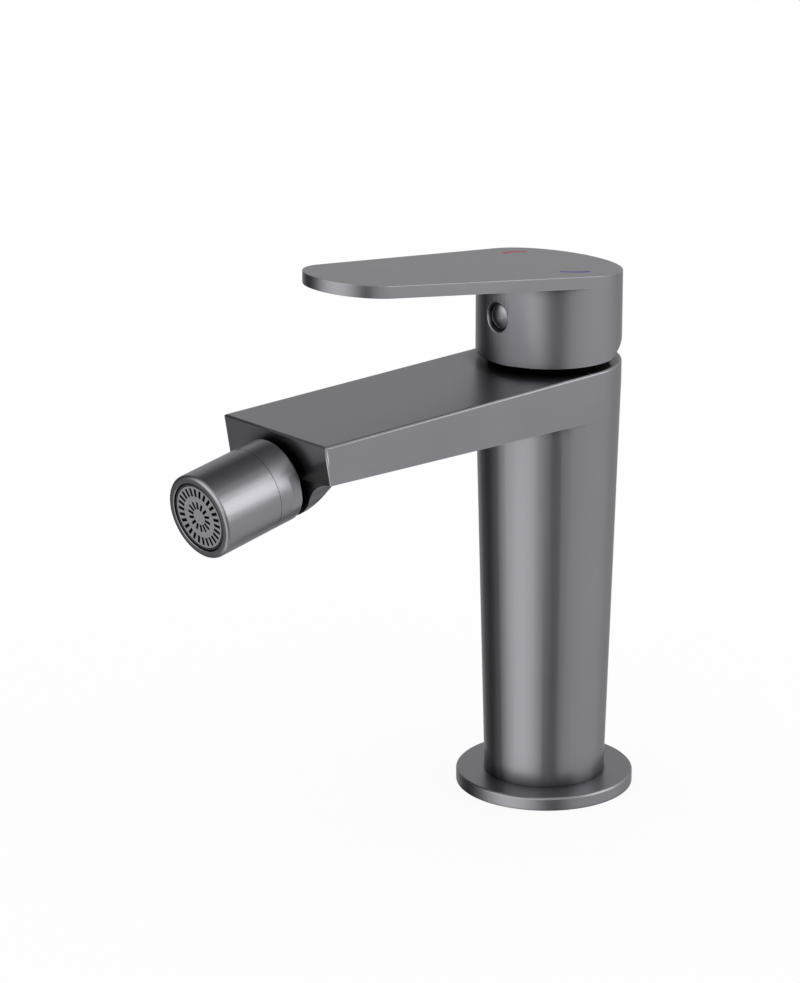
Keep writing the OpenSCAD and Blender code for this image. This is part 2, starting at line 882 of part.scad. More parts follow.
// A ring's blank with one rounded edge, at its low end
module rounded_blank(r, z0, z1, edge) {
    translate([0, 0, z0]) rotate_extrude() {
        difference() {
            square([r, z1 - z0]);
            translate([r - edge, -past]) square([edge + past, edge + past]);
        }
        translate([r - edge, edge]) circle(r = edge);
    }
}

// Collar: holds the ball from behind, with two spanner flats and a thread for the barrel
module collar() {
    color("dimgray") on_swivel() difference() {
        union() {
            rounded_blank(collar_r, collar_start, seam, rim_round);
            bar(thread_r, seam - past, seam + thread_l);
        }
        bar(collar_hole_r, collar_start - past, ball_x);
        translate([0, 0, ball_x]) sphere(r = seat_r);
        bar(insert_r + fit, ball_x, seam + thread_l + past);
        for (side = [-1, 1])
            translate([side * (flats_w / 2 + barrel_r), 0, collar_start + flats_l / 2 - past])
                cube([barrel_d, barrel_d, flats_l + 2 * past], center = true);
    }
}

// Seat ring: presses the ball back into the collar
module seat_ring() {
    color("whitesmoke") on_swivel() difference() {
        bar(insert_r, ball_x + film, insert_end);
        translate([0, 0, ball_x]) sphere(r = seat_r);
        bar(seat_hole_r, ball_x, insert_end + past);
    }
}

// Barrel: screwed on to the collar, with a web between the ball's seat and the aerator
module barrel() {
    color("dimgray") on_swivel() difference() {
        union() {
            translate([0, 0, seam])
                cylinder(r1 = collar_r, r2 = barrel_r, h = mouth_reach - seam - rim_round);
            mirror([0, 0, 1])
                rounded_blank(barrel_r, -mouth_reach, -mouth_reach + rim_round + slip, rim_round);
        }
        bar(thread_r + fit, seam - past, seam + thread_l + slip);
        bar(insert_r + fit, seam - past, insert_end);
        bar(web_bore_r, seam - past, mouth_reach);
        bar(aerator_r, washer_z, mouth_reach + past);
        bar(aerator_r + mouth_step, mouth_reach - mouth_step_l, mouth_reach + past);
    }
}

module aerator_washer() {
    color("black") on_swivel() ring(aerator_r - slip, web_bore_r + slip, washer_z, aerator_z);
}

// Aerator housing: a threaded sleeve with a ledge at its inlet
module aerator_housing() {
    color("black") on_swivel() {
        difference() {
            bar(aerator_out_r, aerator_z, face_z + face_t);
            bar(ledge_r, aerator_z - past, mouth_reach);
            bar(aerator_in_r, aerator_z + ledge_t, mouth_reach);
        }
    }
}

// Flow regulator: a drilled disc round a central boss
module flow_regulator() {
    low = aerator_z + ledge_t;
    color("gold") on_swivel() difference() {
        union() {
            bar(aerator_in_r - slip, low, low + regulator_t);
            bar(regulator_boss_r, low - ledge_t / 2, low + regulator_t);
        }
        for (i = [0 : regulator_holes - 1]) rotate([0, 0, i * 360 / regulator_holes])
            translate([regulator_row_r, 0, 0]) bar(regulator_hole_r, low - past, low + regulator_t + past);
    }
}

// Screen pack: a spacer sleeve with two crossed-bar screens
module aerator_screens() {
    low = aerator_z + ledge_t + regulator_t;
    inner = aerator_in_r - slip - screen_wall;
    color("silver") on_swivel() {
        ring(aerator_in_r - slip, inner, low, face_z);
        for (level = screen_levels) intersection() {
            bar(inner + past / 4, low, face_z);
            for (turn = [0, 90], i = [-screen_bars : screen_bars]) rotate([0, 0, turn])
                translate([i * inner / (screen_bars + 1), 0, low + (face_z - low) * level])
                    cube([screen_bar, 2 * aerator_in_r, screen_bar], center = true);
        }
    }
}

// Aerator face: two rings of radial slots round a plain centre
module aerator_face() {
    color("gainsboro") on_swivel() difference() {
        bar(aerator_in_r - slip, face_z, face_z + face_t);
        slot_row(inner_slots, face_centre_r, face_ring_r, face_inner_slot);
        slot_row(outer_slots, face_ring_r + face_ring_w, aerator_in_r - slip - face_rim, face_slot);
    }
}

// A row of radial slots between two radii
module slot_row(count, from, to, width) {
    for (i = [0 : count - 1]) rotate([0, 0, (i + 0.5) * 360 / count])
        translate([from, -width / 2, face_z - past]) cube([to - from, width, face_t + 2 * past]);
}

base_ring();
base_gasket();
body();
cartridge_base();
inlet_seals();
port_seals();
fixed_disc();
sliding_disc();
disc_carrier();
rotor();
cartridge_housing();
housing_seal();
limit_ring();
cartridge_nut();
spindle();
spindle_pin();
lever();
set_screw();
screw_plug();
hot_mark();
cold_mark();
ball_stem();
stem_seal();
ball_seal();
collar();
seat_ring();
barrel();
aerator_washer();
flow_regulator();
aerator_housing();
aerator_screens();
aerator_face();
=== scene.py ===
# %% [markdown]
# A bidet mixer in satin gun-metal grey: a round flange and a tapering column, a straight spout with a
# ball-jointed outlet, and a flat lever on a round hub. The exact solids come from the CAD model, in metres,
# with the origin under the middle of the flange. This lesson gives them their rounded edges, their
# finishes, the studio and the camera. The CAD solids are loaded first and never moved, so every new piece
# is made where they are.

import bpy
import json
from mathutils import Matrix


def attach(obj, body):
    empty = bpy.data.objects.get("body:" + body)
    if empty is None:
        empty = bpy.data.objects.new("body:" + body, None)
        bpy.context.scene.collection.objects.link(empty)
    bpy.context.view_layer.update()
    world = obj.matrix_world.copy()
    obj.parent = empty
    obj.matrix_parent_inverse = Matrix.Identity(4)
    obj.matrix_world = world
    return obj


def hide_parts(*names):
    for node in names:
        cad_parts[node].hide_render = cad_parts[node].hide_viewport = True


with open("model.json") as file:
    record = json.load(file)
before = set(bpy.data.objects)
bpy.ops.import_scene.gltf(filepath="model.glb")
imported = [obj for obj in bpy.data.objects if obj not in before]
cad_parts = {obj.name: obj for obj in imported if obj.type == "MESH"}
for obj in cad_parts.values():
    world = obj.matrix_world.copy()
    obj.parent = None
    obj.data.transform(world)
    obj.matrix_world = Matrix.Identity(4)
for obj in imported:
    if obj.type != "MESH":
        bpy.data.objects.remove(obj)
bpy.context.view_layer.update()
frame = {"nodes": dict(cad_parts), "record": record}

# %% [markdown]
# The rest of the script needs Blender's own modules. Lengths on the drawing are in millimetres, so one
# named factor turns them into the scene's metres.

# %% Modules and units
import json
from math import pi, radians

import bmesh
import bpy
from mathutils import Vector

MM = 0.001
nodes = frame["nodes"]
scene = bpy.context.scene
print("Solids to dress:", len(nodes))

# %% [markdown]
# The camera stands where the photographer's did. Its angles and its distance come from the edges of the
# real object: the vertical column gives how far the camera looks down, and the flange's ellipse gives how
# far off it is. A long lens from more than a metre away keeps the column's sides almost parallel, as they
# are in a catalogue shot.

# %% Camera
AZIMUTH = radians(47.18)
LOOK_DOWN = radians(18.19)
CAMERA_AT = (845.588, -841.687, 481.030)
FOCAL_LENGTH = 158.46
SENSOR_WIDTH = 36
camera_data = bpy.data.cameras.new("camera")
camera_data.lens = FOCAL_LENGTH
camera_data.sensor_width = SENSOR_WIDTH
camera = bpy.data.objects.new("camera", camera_data)
camera.location = [length * MM for length in CAMERA_AT]
camera.rotation_euler = (pi / 2 - LOOK_DOWN, 0, AZIMUTH)
scene.collection.objects.link(camera)
scene.camera = camera
print("Camera distance in metres: %.3f" % camera.location.length)


# %% [markdown]
# A few small helpers keep the cells that follow short. Each adds one kind of thing and returns what the
# next step needs: a node tree to fill, the output of a math node, or a new object.

# %% Helpers for trees and objects
def cleared_tree(owner):
    """The empty node tree of a world or a material."""
    owner.use_nodes = True
    owner.node_tree.nodes.clear()
    return owner.node_tree


def math_node(tree, operation, *values):
    """A math node on sockets or numbers. Returns its output."""
    node = tree.nodes.new("ShaderNodeMath")
    node.operation = operation
    for socket, value in zip(node.inputs, values):
        if isinstance(value, (int, float)):
            socket.default_value = value
        else:
            tree.links.new(value, socket)
    return node.outputs[0]


def new_object(name, bm):
    """Makes an object at the origin from a bmesh, and frees the bmesh."""
    mesh = bpy.data.meshes.new(name)
    bm.to_mesh(mesh)
    bm.free()
    obj = bpy.data.objects.new(name, mesh)
    scene.collection.objects.link(obj)
    return obj


# %% [markdown]
# The world is a plain white room. It gives the same light to every ray, so a colour renders about as it is
# written. Coloured or directed lamps would model the form better on a dull object, but metal shows its
# surroundings more than its own colour, so here the bands down the column come from what the metal
# reflects, two cells further on.

# %% White room
WHITE = (1, 1, 1, 1)
ROOM_STRENGTH = 1.0
scene.view_settings.view_transform = "Standard"
world = bpy.data.worlds.new("white_room")
scene.world = world
room = cleared_tree(world)
room_light = room.nodes.new("ShaderNodeBackground")
room_light.inputs["Color"].default_value = WHITE
room_light.inputs["Strength"].default_value = ROOM_STRENGTH
room_out = room.nodes.new("ShaderNodeOutputWorld")
room.links.new(room_light.outputs["Background"], room_out.inputs["Surface"])
print("World:", world.name, "at strength", ROOM_STRENGTH)


# %% [markdown]
# The floor is one flat pale sheet. Its colour is seen by the camera through an emission, so that it clips
# to the white of the page, and a share of plain diffuse under it keeps the object's soft shadow. It leaves
# the metal's reflections alone, because the studio wall stands there too. Its underside is clear, so that a
# view from below shows the flange and its gasket.

# %% Floor
def mixed_shader(tree, share, first, second):
    """Two shaders, mixed by the share of the second. Returns the mix."""
    node = tree.nodes.new("ShaderNodeMixShader")
    for socket, value in zip(node.inputs, (share, first, second)):
        tree.links.new(value, socket)
    return node.outputs[0]


FLOOR_HALF = 6
UNDER_DECK = 0.05
PAPER_TONE = 0.9
GLOW_SHARE = 0.9
bm = bmesh.new()
bmesh.ops.create_grid(bm, x_segments=1, y_segments=1, size=FLOOR_HALF)
floor = new_object("floor", bm)
floor.location.z = -UNDER_DECK * MM
floor_material = bpy.data.materials.new("pale_floor")
tree = cleared_tree(floor_material)
paper = tree.nodes.new("ShaderNodeBsdfDiffuse")
paper.inputs["Color"].default_value = (PAPER_TONE, PAPER_TONE, PAPER_TONE, 1)
glow = tree.nodes.new("ShaderNodeEmission")
path = tree.nodes.new("ShaderNodeLightPath")
seen = math_node(tree, "MAXIMUM", path.outputs["Is Camera Ray"], path.outputs["Is Glossy Ray"])
share = math_node(tree, "MULTIPLY", seen, GLOW_SHARE)
from_above = mixed_shader(tree, share, paper.outputs[0], glow.outputs[0])
side = tree.nodes.new("ShaderNodeNewGeometry")
clear = tree.nodes.new("ShaderNodeBsdfTransparent")
one_sided = mixed_shader(tree, side.outputs["Backfacing"], from_above, clear.outputs[0])
tree.links.new(one_sided, tree.nodes.new("ShaderNodeOutputMaterial").inputs["Surface"])
floor.data.materials.append(floor_material)
floor.visible_glossy = False
print("Floor: %g m each way, %g mm under the deck" % (2 * FLOOR_HALF, UNDER_DECK))

# %% [markdown]
# What the metal reflects is one wall: a sphere round the object that only reflections see. A photographer
# would hang soft boxes and black flags in a white tent, and their edges would blur into it. Here the wall
# glows like the tent, and every soft box or flag adds to that glow or takes from it inside a window with
# soft edges. Two angles say where a window is: the turn runs anticlockwise from +X, seen from above, and
# the rise is the height above level.

# %% Directions on the wall
WALL_MIDDLE = 0.09
WALL_R = 0.9
bm = bmesh.new()
bmesh.ops.create_uvsphere(bm, u_segments=48, v_segments=24, radius=WALL_R)
wall = new_object("studio_wall", bm)
wall.location.z = WALL_MIDDLE
wall_material = bpy.data.materials.new("studio_wall")
tree = cleared_tree(wall_material)
towards = tree.nodes.new("ShaderNodeVectorMath")
towards.operation = "NORMALIZE"
tree.links.new(tree.nodes.new("ShaderNodeTexCoord").outputs["Object"], towards.inputs[0])
split = tree.nodes.new("ShaderNodeSeparateXYZ")
tree.links.new(towards.outputs["Vector"], split.inputs["Vector"])
turn = math_node(tree, "ARCTAN2", split.outputs["Y"], split.outputs["X"])
rise = math_node(tree, "ARCSINE", split.outputs["Z"])
print("Studio wall: %g m in radius round a point %g m up" % (WALL_R, WALL_MIDDLE))

# %% [markdown]
# Below the object's level the wall has one brightness for each turn, because the column and the hub look
# down at it: a black flag at the left, a wide soft box in front, a narrow flag beside the camera, white on
# the right and grey behind. A colour ramp holds these, as turns in degrees and brightness against the white
# tent.

# %% Low wall
BRIGHTEST = 3
LOW_WALL = [
    (-180, 0.2), (-166, 0.03), (-148, 0.03), (-134, 0.3), (-120, 1.05), (-104, 1.65), (-90, 1.87),
    (-74, 1.7), (-60, 1.25), (-48, 0.6), (-38, 0.12), (-27, 0.08), (-18, 0.55), (-9, 0.96), (60, 0.95),
    (95, 0.52), (165, 0.52), (180, 0.2),
]
ramp = tree.nodes.new("ShaderNodeValToRGB")
ramp.color_ramp.interpolation = "EASE"
stops = ramp.color_ramp.elements
for index, (degrees_round, brightness) in enumerate(LOW_WALL):
    place = degrees_round / 360 + 0.5
    stop = stops[index] if index < 2 else stops.new(place)
    stop.position = place
    stop.color = (*[brightness / BRIGHTEST] * 3, 1)
place = math_node(tree, "MULTIPLY_ADD", turn, 1 / (2 * pi), 0.5)
tree.links.new(place, ramp.inputs["Fac"])
low_wall = math_node(tree, "MULTIPLY", ramp.outputs["Color"], BRIGHTEST)
print("Stops on the low wall:", len(stops))


# %% [markdown]
# Higher up the wall is plain white with windows in it. The tops of the lever and the spout look at the grey
# screen behind, the barrel looks at the soft box on the right and at the flag above it, the hub and the
# plug look at the soft box in front, and the rounded edges of the front look at the flag on the left. The
# flag high behind keeps the tops grey when the object is seen from above.

# %% A window in the wall
def soft_step(tree, value, start, stop):
    """A smooth step from 0 at one value to 1 at another."""
    step = tree.nodes.new("ShaderNodeMapRange")
    step.interpolation_type = "SMOOTHSTEP"
    step.inputs["From Min"].default_value = start
    step.inputs["From Max"].default_value = stop
    tree.links.new(value, step.inputs["Value"])
    return step.outputs["Result"]


def window(turn_at, turn_half, rise_at, rise_half, soft, brightness):
    """What a soft box or flag adds to the wall: its brightness over white, inside soft edges."""
    across = math_node(tree, "ABSOLUTE", math_node(
        tree, "WRAP", math_node(tree, "SUBTRACT", turn, radians(turn_at)), pi, -pi))
    up = math_node(tree, "ABSOLUTE", math_node(tree, "SUBTRACT", rise, radians(rise_at)))
    inside = math_node(
        tree, "MULTIPLY",
        soft_step(tree, across, radians(turn_half + soft / 2), radians(turn_half - soft / 2)),
        soft_step(tree, up, radians(rise_half + soft / 2), radians(rise_half - soft / 2)))
    return math_node(tree, "MULTIPLY", inside, brightness - 1)


# %% [markdown]
# Each window's numbers are its turn, half its width, its rise, half its height and the width of its soft
# edge, all in degrees, and then its brightness against the white tent. The windows are added to the tent,
# and the high wall passes into the low one a little below and above level.

# %% High wall
DARKEST = 0.02
ALL_LOW = radians(-4)
ALL_HIGH = radians(6)
WINDOWS = {
    "soft box on the right": (36, 24, 22, 20, 20, 3.8),
    "flag above": (112, 75, 73, 21, 14, 0.12),
    "flag high behind": (140, 40, 47, 12, 14, 0.35),
    "grey screen behind": (134, 42, 13, 20, 14, 0.63),
    "flag on the left": (-156, 24, 28, 32, 14, 0.03),
    "soft box in front": (-85, 36, 20, 18, 24, 2.8),
}
high_wall = 1.0
for settings in WINDOWS.values():
    high_wall = math_node(tree, "ADD", window(*settings), high_wall)
high_wall = math_node(tree, "MAXIMUM", high_wall, DARKEST)
is_high = soft_step(tree, rise, ALL_LOW, ALL_HIGH)
taken = math_node(tree, "MULTIPLY", is_high, math_node(tree, "SUBTRACT", high_wall, low_wall))
light = tree.nodes.new("ShaderNodeEmission")
tree.links.new(math_node(tree, "ADD", taken, low_wall), light.inputs["Strength"])
tree.links.new(light.outputs[0], tree.nodes.new("ShaderNodeOutputMaterial").inputs["Surface"])
wall.data.materials.append(wall_material)
wall.visible_camera = False
wall.visible_shadow = False
wall.visible_diffuse = False
print("Windows in the high wall:", ", ".join(WINDOWS))


# %% [markdown]
# Three small effects are shared by the finishes, so each is a node group with named inputs and outputs. The
# first is handling: a coated tap is evenly satin, but fingers and water leave patches that are a little
# glossier or duller. It could be painted on an image, but noise on the object's own coordinates needs no
# image and stays in place.

# %% Node groups
def node_group(name, inputs, outputs):
    """A node group with number inputs and outputs, and its two end nodes."""
    group = bpy.data.node_groups.new(name, "ShaderNodeTree")
    for label, value in inputs:
        socket = group.interface.new_socket(label, in_out="INPUT", socket_type="NodeSocketFloat")
        socket.default_value = value
    for label in outputs:
        group.interface.new_socket(label, in_out="OUTPUT", socket_type="NodeSocketFloat")
    return group, group.nodes.new("NodeGroupInput"), group.nodes.new("NodeGroupOutput")


def noise_node(tree, coords, scale, detail):
    """Noise on the object's own coordinates, with its scale from a socket. Returns its output."""
    noise = tree.nodes.new("ShaderNodeTexNoise")
    noise.inputs["Detail"].default_value = detail
    tree.links.new(scale, noise.inputs["Scale"])
    tree.links.new(coords, noise.inputs["Vector"])
    return noise.outputs["Fac"]


# %% Handling
NOISE_MIDDLE = 0.5
handling, group_in, group_out = node_group(
    "handling",
    [("Base", 0.25), ("Spread", 0.05), ("Patch Scale", 40), ("Grain Scale", 1500)],
    ["Roughness", "Height", "Tone"])
coords = handling.nodes.new("ShaderNodeTexCoord").outputs["Object"]
patches = noise_node(handling, coords, group_in.outputs["Patch Scale"], 3)
grain = noise_node(handling, coords, group_in.outputs["Grain Scale"], 2)
centred = math_node(handling, "SUBTRACT", patches, NOISE_MIDDLE)
spread = math_node(handling, "MULTIPLY", centred, group_in.outputs["Spread"])
satin = math_node(handling, "ADD", spread, group_in.outputs["Base"])
handling.links.new(satin, group_out.inputs["Roughness"])
handling.links.new(grain, group_out.inputs["Height"])
handling.links.new(patches, group_out.inputs["Tone"])
print("Nodes in the handling group:", len(handling.nodes))

# %% [markdown]
# The second effect is painted shade in the crevices: ambient occlusion finds the places that little light
# reaches, under the hub, behind the collar and in the slots of the aerator, and the colour is darkened
# there.
# The third is wear with a painted highlight: a cloth rubs the edges first, so they are a little glossier,
# and they are made lighter, which also paints the line of light that an edge catches. A bevel node bends
# the normal near an edge, and where it differs from the true normal there is an edge.

# %% Painted crevice shade
DEEP = 0.3
OPEN = 0.92
painted_crevice_shade, group_in, group_out = node_group("painted_crevice_shade", [("Reach", 0.006), ("Darkest", 0.2)], ["Light"])
hollow = painted_crevice_shade.nodes.new("ShaderNodeAmbientOcclusion")
hollow.samples = 8
painted_crevice_shade.links.new(group_in.outputs["Reach"], hollow.inputs["Distance"])
openness = soft_step(painted_crevice_shade, hollow.outputs["AO"], DEEP, OPEN)
lightest = math_node(painted_crevice_shade, "SUBTRACT", 1.0, group_in.outputs["Darkest"])
light_here = math_node(painted_crevice_shade, "MULTIPLY_ADD", openness, lightest, group_in.outputs["Darkest"])
painted_crevice_shade.links.new(light_here, group_out.inputs["Light"])
print("Nodes in the crevice group:", len(painted_crevice_shade.nodes))

# %% Worn edges and painted edge highlight
ALIKE = 0.995
BENT = 0.9
NEVER_RUBBED = 0.3
OFTEN_RUBBED = 0.6
# The edge mask lightens the colour, partly as wear and partly as a painted highlight.
worn_edge_and_highlight, group_in, group_out = node_group(
    "worn_edge_and_highlight", [("Width", 0.0005), ("Patch Scale", 120)], ["Mask"])
bent = worn_edge_and_highlight.nodes.new("ShaderNodeBevel")
bent.samples = 4
worn_edge_and_highlight.links.new(group_in.outputs["Width"], bent.inputs["Radius"])
likeness = worn_edge_and_highlight.nodes.new("ShaderNodeVectorMath")
likeness.operation = "DOT_PRODUCT"
worn_edge_and_highlight.links.new(bent.outputs["Normal"], likeness.inputs[0])
worn_edge_and_highlight.links.new(worn_edge_and_highlight.nodes.new("ShaderNodeNewGeometry").outputs["Normal"], likeness.inputs[1])
edge = soft_step(worn_edge_and_highlight, likeness.outputs["Value"], ALIKE, BENT)
coords = worn_edge_and_highlight.nodes.new("ShaderNodeTexCoord").outputs["Object"]
rub_patches = noise_node(worn_edge_and_highlight, coords, group_in.outputs["Patch Scale"], 2)
rubbed = soft_step(worn_edge_and_highlight, rub_patches, NEVER_RUBBED, OFTEN_RUBBED)
worn_edge_and_highlight.links.new(math_node(worn_edge_and_highlight, "MULTIPLY", edge, rubbed), group_out.inputs["Mask"])
print("Node groups:", [g.name for g in bpy.data.node_groups])


# %% [markdown]
# Every finish is a Principled shader that takes its roughness, its bump and a faint change of tone from the
# handling group. Worn edges take roughness away and lighten the colour, partly as wear and partly as a
# painted highlight, and painted shade darkens it in the crevices. What is the same all over, such as metal
# or gloss, is set on the shader's own sockets.

# %% Pieces of a finish
def placed_group(tree, group, **values):
    """A node group placed in a material, with its inputs set."""
    node = tree.nodes.new("ShaderNodeGroup")
    node.node_tree = group
    for label, value in values.items():
        node.inputs[label.replace("_", " ")].default_value = value
    return node


def tinted(tree, blend, factor, first, second):
    """A colour mix of two colours or sockets. Returns its output."""
    node = tree.nodes.new("ShaderNodeMix")
    node.data_type = "RGBA"
    node.blend_type = blend
    for label, value in (("Factor", factor), ("A", first), ("B", second)):
        if isinstance(value, (int, float, tuple)):
            node.inputs[label].default_value = value
        else:
            tree.links.new(value, node.inputs[label])
    return node.outputs["Result"]


def lightened(colour, factor):
    """A colour made lighter or darker by a factor, with its alpha added."""
    return (*[min(1, c * factor) for c in colour], 1)


# %% One finish
TONE = 0.06
LIGHTER_WEAR_AND_HIGHLIGHT = 2
WEAR_AND_HIGHLIGHT_WIDTH = 0.5
GRAIN_STRENGTH = 0.05
GRAIN_HEIGHT = 0.02


def finish(name, colour, base, wear_and_highlight=0.0, reach=5, darkest=0.3, **sockets):
    """A material from a colour, a roughness, its worn edges with painted highlight, its painted crevice
    shade, and the shader's own settings.
    """
    material = bpy.data.materials.new(name)
    material.use_nodes = True
    tree = material.node_tree
    shader = tree.nodes["Principled BSDF"]
    for label, value in sockets.items():
        shader.inputs[label.replace("_", " ")].default_value = value
    touched = placed_group(tree, handling, Base=base)
    roughness = touched.outputs["Roughness"]
    tint = tinted(
        tree, "MIX", touched.outputs["Tone"], lightened(colour, 1 - TONE), lightened(colour, 1 + TONE))
    # Edges lighter and glossier: partly wear, partly a painted highlight.
    if wear_and_highlight:
        mask = placed_group(tree, worn_edge_and_highlight, Width=WEAR_AND_HIGHLIGHT_WIDTH * MM).outputs["Mask"]
        wear_and_highlight_share = math_node(tree, "MULTIPLY", mask, wear_and_highlight)
        tint = tinted(tree, "MIX", wear_and_highlight_share, tint, lightened(colour, LIGHTER_WEAR_AND_HIGHLIGHT))
        roughness = math_node(tree, "SUBTRACT", roughness, math_node(tree, "MULTIPLY", wear_and_highlight_share, base / 2))
    # Painted shade: ambient occlusion darkens the colour in crevices.
    shade = placed_group(tree, painted_crevice_shade, Reach=reach * MM, Darkest=darkest).outputs["Light"]
    tree.links.new(tinted(tree, "MULTIPLY", 1.0, tint, shade), shader.inputs["Base Color"])
    tree.links.new(roughness, shader.inputs["Roughness"])
    relief = tree.nodes.new("ShaderNodeBump")
    relief.inputs["Strength"].default_value = GRAIN_STRENGTH
    relief.inputs["Distance"].default_value = GRAIN_HEIGHT * MM
    tree.links.new(touched.outputs["Height"], relief.inputs["Height"])
    tree.links.new(relief.outputs["Normal"], shader.inputs["Normal"])
    return material


# %% [markdown]
# The coated castings share one grey with a trace of violet. The flange has it too, but its painted crevice
# shade reaches less far, because the deck lies right under it and would darken its whole rim. The brass
# inside is blackened nearly to black, partly as its finish and partly as painted shade for the gap under
# the hub, which shows it.

# %% Metals
GUN_METAL = (0.222, 0.219, 0.236)
gun_metal = finish("gun_metal_coating", GUN_METAL, 0.34, wear_and_highlight=0.25, reach=7, darkest=0.1, Metallic=1.0)
deck_metal = finish("deck_flange_coating", GUN_METAL, 0.34, wear_and_highlight=0.25, reach=1.2, Metallic=1.0)
# Partly painted shade: the nearly black brass stands in for the shade in the gap under the hub.
black_brass = finish("blackened_brass_and_gap_shade", (0.008, 0.008, 0.008), 0.55, reach=6, darkest=0.1, Metallic=1.0)
stainless = finish("stainless_steel", (0.58, 0.58, 0.58), 0.28, Metallic=1.0)
print("Metals:", [m.name for m in (gun_metal, deck_metal, black_brass, stainless)])

# %% [markdown]
# The plug in the hub is metallised and glossier than the casting round it, so it shows a small bright spot.
# The enamel of the two marks is dull, because a gloss on marks this flat would turn them grey from the
# front.

# %% Rubber, plastics, ceramic and enamel
rubber = finish("sealing_rubber", (0.02, 0.02, 0.02), 0.6)
white_plastic = finish("cartridge_plastic", (0.8, 0.8, 0.76), 0.45)
blue_plastic = finish("carrier_plastic", (0.07, 0.18, 0.5), 0.45)
orange_plastic = finish("limit_plastic", (0.75, 0.2, 0.04), 0.45)
black_plastic = finish("aerator_housing_plastic_and_slot_shade", (0.008, 0.008, 0.009), 0.5)
# The aerator's pale face takes painted shade in its slots, down to 0.03 of its colour.
light_plastic = finish("aerator_face_plastic", (0.235, 0.235, 0.25), 0.4, reach=1.6, darkest=0.03)
plug_plastic = finish("plug_coating", (0.22, 0.217, 0.23), 0.2, reach=1.5, wear_and_highlight=0.2, Metallic=1.0)
ceramic = finish("disc_ceramic", (0.85, 0.85, 0.82), 0.15)
red_enamel = finish("red_enamel", (0.3, 0.03, 0.07), 0.45, reach=0.5, Specular_IOR_Level=0.2)
blue_enamel = finish("blue_enamel", (0.035, 0.035, 0.27), 0.45, reach=0.5, Specular_IOR_Level=0.2)

FINISH_OF_SLOT = {
    "coated_brass": gun_metal, "black_brass": black_brass, "stainless": stainless, "disc_ceramic": ceramic,
    "black_rubber": rubber, "white_plastic": white_plastic, "blue_plastic": blue_plastic,
    "orange_plastic": orange_plastic, "grey_plastic": plug_plastic, "black_plastic": black_plastic,
    "light_plastic": light_plastic, "red_enamel": red_enamel, "blue_enamel": blue_enamel,
}
print("Finishes by slot:", len(FINISH_OF_SLOT))

# %% [markdown]
# The record says which finish slot each CAD solid belongs to, so one loop dresses them all.

# %% Dress the CAD solids
slot_of = {row["node"]: row["material_slot"] for row in frame["record"]["subparts"]}
bodies = frame["record"]["behaviour"]["bodies"]
for node, slot in slot_of.items():
    nodes[node].data.materials.clear()
    nodes[node].data.materials.append(deck_metal if node == "base_ring" else FINISH_OF_SLOT[slot])
print("Solids dressed:", len(slot_of))

# %% [markdown]
# The real castings are polished before they are coated, so no edge is knife-sharp: each catches a thin line
# of light. An exact CAD solid has sharp edges, and they would render as hard steps. The rounding could be
# modelled by hand, but a merged copy of the CAD mesh with its own edges bevelled keeps every size of the
# solid. The copy is merged first, its flat faces are joined, and then the bevel operator rounds the edges
# that bend clearly.

# %% Rounded copies
SHARP = radians(24)
FLAT = radians(0.5)
ROUND_STEPS = 3


def merged_copy(node, tiny=0.03):
    """A bmesh of a CAD node with its doubles merged and its flat faces joined."""
    bm = bmesh.new()
    bm.from_mesh(nodes[node].data)
    bmesh.ops.remove_doubles(bm, verts=bm.verts, dist=tiny * MM)
    bmesh.ops.dissolve_limit(bm, angle_limit=FLAT, verts=bm.verts, edges=bm.edges)
    return bm


def bending_edges(bm, wanted):
    """The outer corners of a bmesh that bend clearly and whose middle, in millimetres, is wanted."""
    found = []
    for edge in bm.edges:
        if edge.is_manifold and edge.is_convex and edge.calc_face_angle() > SHARP:
            if wanted((edge.verts[0].co + edge.verts[1].co) / (2 * MM)):
                found.append(edge)
    return found


def round_edges(bm, edges, width):
    """Rounds edges of a bmesh to a width in millimetres."""
    bmesh.ops.bevel(
        bm, geom=edges, offset=width * MM, offset_type="OFFSET", segments=ROUND_STEPS, profile=0.5,
        affect="EDGES", material=-1, clamp_overlap=False, loop_slide=True)
    print("rounded %d edges to %.2f mm" % (len(edges), width))


# %% [markdown]
# A bevelled copy would be shaded by the plain average of its faces, and the long thin faces of a CAD mesh
# make that patchy. Marking the corners that stay sharp and weighting each normal by the area of its faces
# keeps the flat faces flat and the round ones smooth, and only the rounded edge bends the light.

# %% Dress a rounded copy
STAYS_SHARP = radians(32)


def dress(name, bm, node):
    """Turns a bmesh into the piece that stands for a CAD node, with its finish, body and even shading."""
    for face in bm.faces:
        face.smooth = True
    open_edges = sum(not edge.is_manifold for edge in bm.edges)
    volume = bm.calc_volume() / MM ** 3
    piece = new_object(name, bm)
    piece.data.set_sharp_from_angle(angle=STAYS_SHARP)
    even = piece.modifiers.new("even_shading", "WEIGHTED_NORMAL")
    even.keep_sharp = True
    bpy.context.view_layer.objects.active = piece
    bpy.ops.object.modifier_apply(modifier=even.name)
    piece.data.materials.append(nodes[node].data.materials[0])
    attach(piece, next(body for body, members in bodies.items() if node in members))
    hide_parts(node)
    print("%s: %d faces, %d open edges, %.1f mm3" % (name, len(piece.data.polygons), open_edges, volume))
    return piece


# %% [markdown]
# The lever's rim is broken all the way round, above and below, by a round that is just wide enough to catch
# a line of light. The rim's edges are picked by where they are: outside the hub's bore and away from the
# plug and the marks.

# %% Lever
LEVER_ROUND = 0.15
HUB_R = 21
RIM_DEPTH = 0.6
PLUG_HALF = 6
PLUG_TOP = 152
bm = merged_copy("lever")


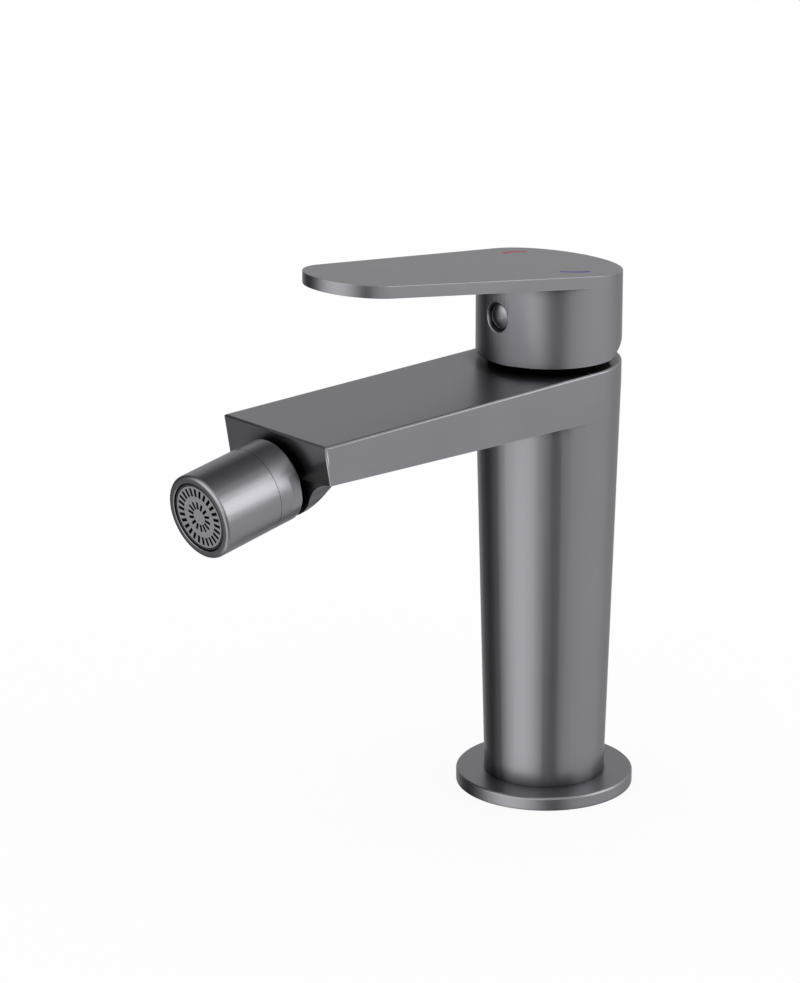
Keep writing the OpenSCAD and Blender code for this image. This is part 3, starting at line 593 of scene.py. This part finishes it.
def on_rim(middle):
    """True for a point on the lever's outside, not in the bore, the plug's hole or the marks."""
    at_plug = abs(middle.x) < PLUG_HALF and middle.y < 0 and middle.z < PLUG_TOP
    return (middle.xy.length > HUB_R - RIM_DEPTH or middle.y < -HUB_R) and not at_plug


round_edges(bm, bending_edges(bm, on_rim), LEVER_ROUND)
dress("lever_rounded", bm, "lever")

# %% [markdown]
# The body has a fine bevel along its top edges, and it catches a line of light. Its two corners are rounded
# here, and the shortest edges are left out, because a round that is wider than its edge would fold over
# itself. The casting's other edges stay as the solid has them, and the lighter worn edges of the finish,
# partly a painted highlight, soften the outer ones.

# %% Body
BODY_ROUND = 0.18
HEAD_R = 21
HEAD_DEPTH = 1
TOP_EDGE = 129.3
SHORTEST = 0.3
bm = merged_copy("body")


def on_top_edge(middle):
    """True for a point on the bevel round the top of the head and the spout."""
    return middle.z > TOP_EDGE and (middle.xy.length > HEAD_R - HEAD_DEPTH or middle.y < -HEAD_R)


top_edges = [edge for edge in bending_edges(bm, on_top_edge) if edge.calc_length() > SHORTEST * MM]
round_edges(bm, top_edges, BODY_ROUND)
dress("body_rounded", bm, "body")

# %% [markdown]
# The outlet is two turned rings. A fine groove shows where the barrel is screwed on to the collar, because
# the barrel's edge is broken there. The collar has its rounds in the solid and is shown as it is. The
# distance along the swivel's own axis tells the barrel's two edges from the others.

# %% The swivel's axis
spin = next(joint for joint in frame["record"]["behaviour"]["joints"] if joint["name"] == "outlet_spin")
BALL = Vector(spin["pos_m"]) / MM
OUTWARD = Vector(spin["axis"]) * (1 if spin["axis"][1] < 0 else -1)


def along(middle):
    """How far a point is along the swivel axis from the ball's centre, and how far off that axis."""
    arm = middle - BALL
    distance = arm.dot(OUTWARD)
    return distance, (arm - distance * OUTWARD).length


print("Ball's centre in millimetres:", [round(place, 1) for place in BALL])

# %% Barrel
SEAM = 0.2
SEAM_ROUND = 0.2
MOUTH = 19.8
MOUTH_ROUND = 0.25
SPLIT_R = 11.6
NEAR = 0.05


def at_seam(middle):
    """True on the outer edge where the barrel meets the collar."""
    distance, radius = along(middle)
    return abs(distance - SEAM) < NEAR and radius > SPLIT_R


def at_mouth(middle):
    """True on the inner edge of the barrel's mouth."""
    distance, radius = along(middle)
    return abs(distance - MOUTH) < NEAR and radius < SPLIT_R


bm = merged_copy("barrel")
round_edges(bm, bending_edges(bm, at_seam), SEAM_ROUND)
round_edges(bm, bending_edges(bm, at_mouth), MOUTH_ROUND)
dress("barrel_rounded", bm, "barrel")

# %% [markdown]
# The aerator's face is a moulded disc with deep narrow slots. Little light gets into them, so their walls
# look black and only the front of the disc is pale. A copy of the disc has the two finishes: the pale one
# where a face looks out along the swivel axis, and on every other face the black plastic as painted shade.

# %% Aerator face
LOOKS_OUT = 0.9
PALE, PAINTED_SLOT_SHADE = 0, 1
bm = merged_copy("aerator_face", tiny=0.01)
for face in bm.faces:
    face.material_index = PALE if face.normal.dot(OUTWARD) > LOOKS_OUT else PAINTED_SLOT_SHADE
slotted = dress("aerator_face_slots", bm, "aerator_face")
# The black on the slot walls is painted shade.
slotted.data.materials.append(black_plastic)

# %% [markdown]
# The flange is turned as well. Its bevel is part of the solid, and its edges are only broken here, above
# and at the deck, where the flange would otherwise cut the hand that cleans round it.

# %% Flange
FLANGE_ROUND = 0.15
FLANGE_R = 26
BEVEL_DEPTH = 0.8
bm = merged_copy("base_ring")


def on_flange_rim(middle):
    """True on the flange's outer edges."""
    return middle.xy.length > FLANGE_R - BEVEL_DEPTH


round_edges(bm, bending_edges(bm, on_flange_rim), FLANGE_ROUND)
dress("base_ring_rounded", bm, "base_ring")
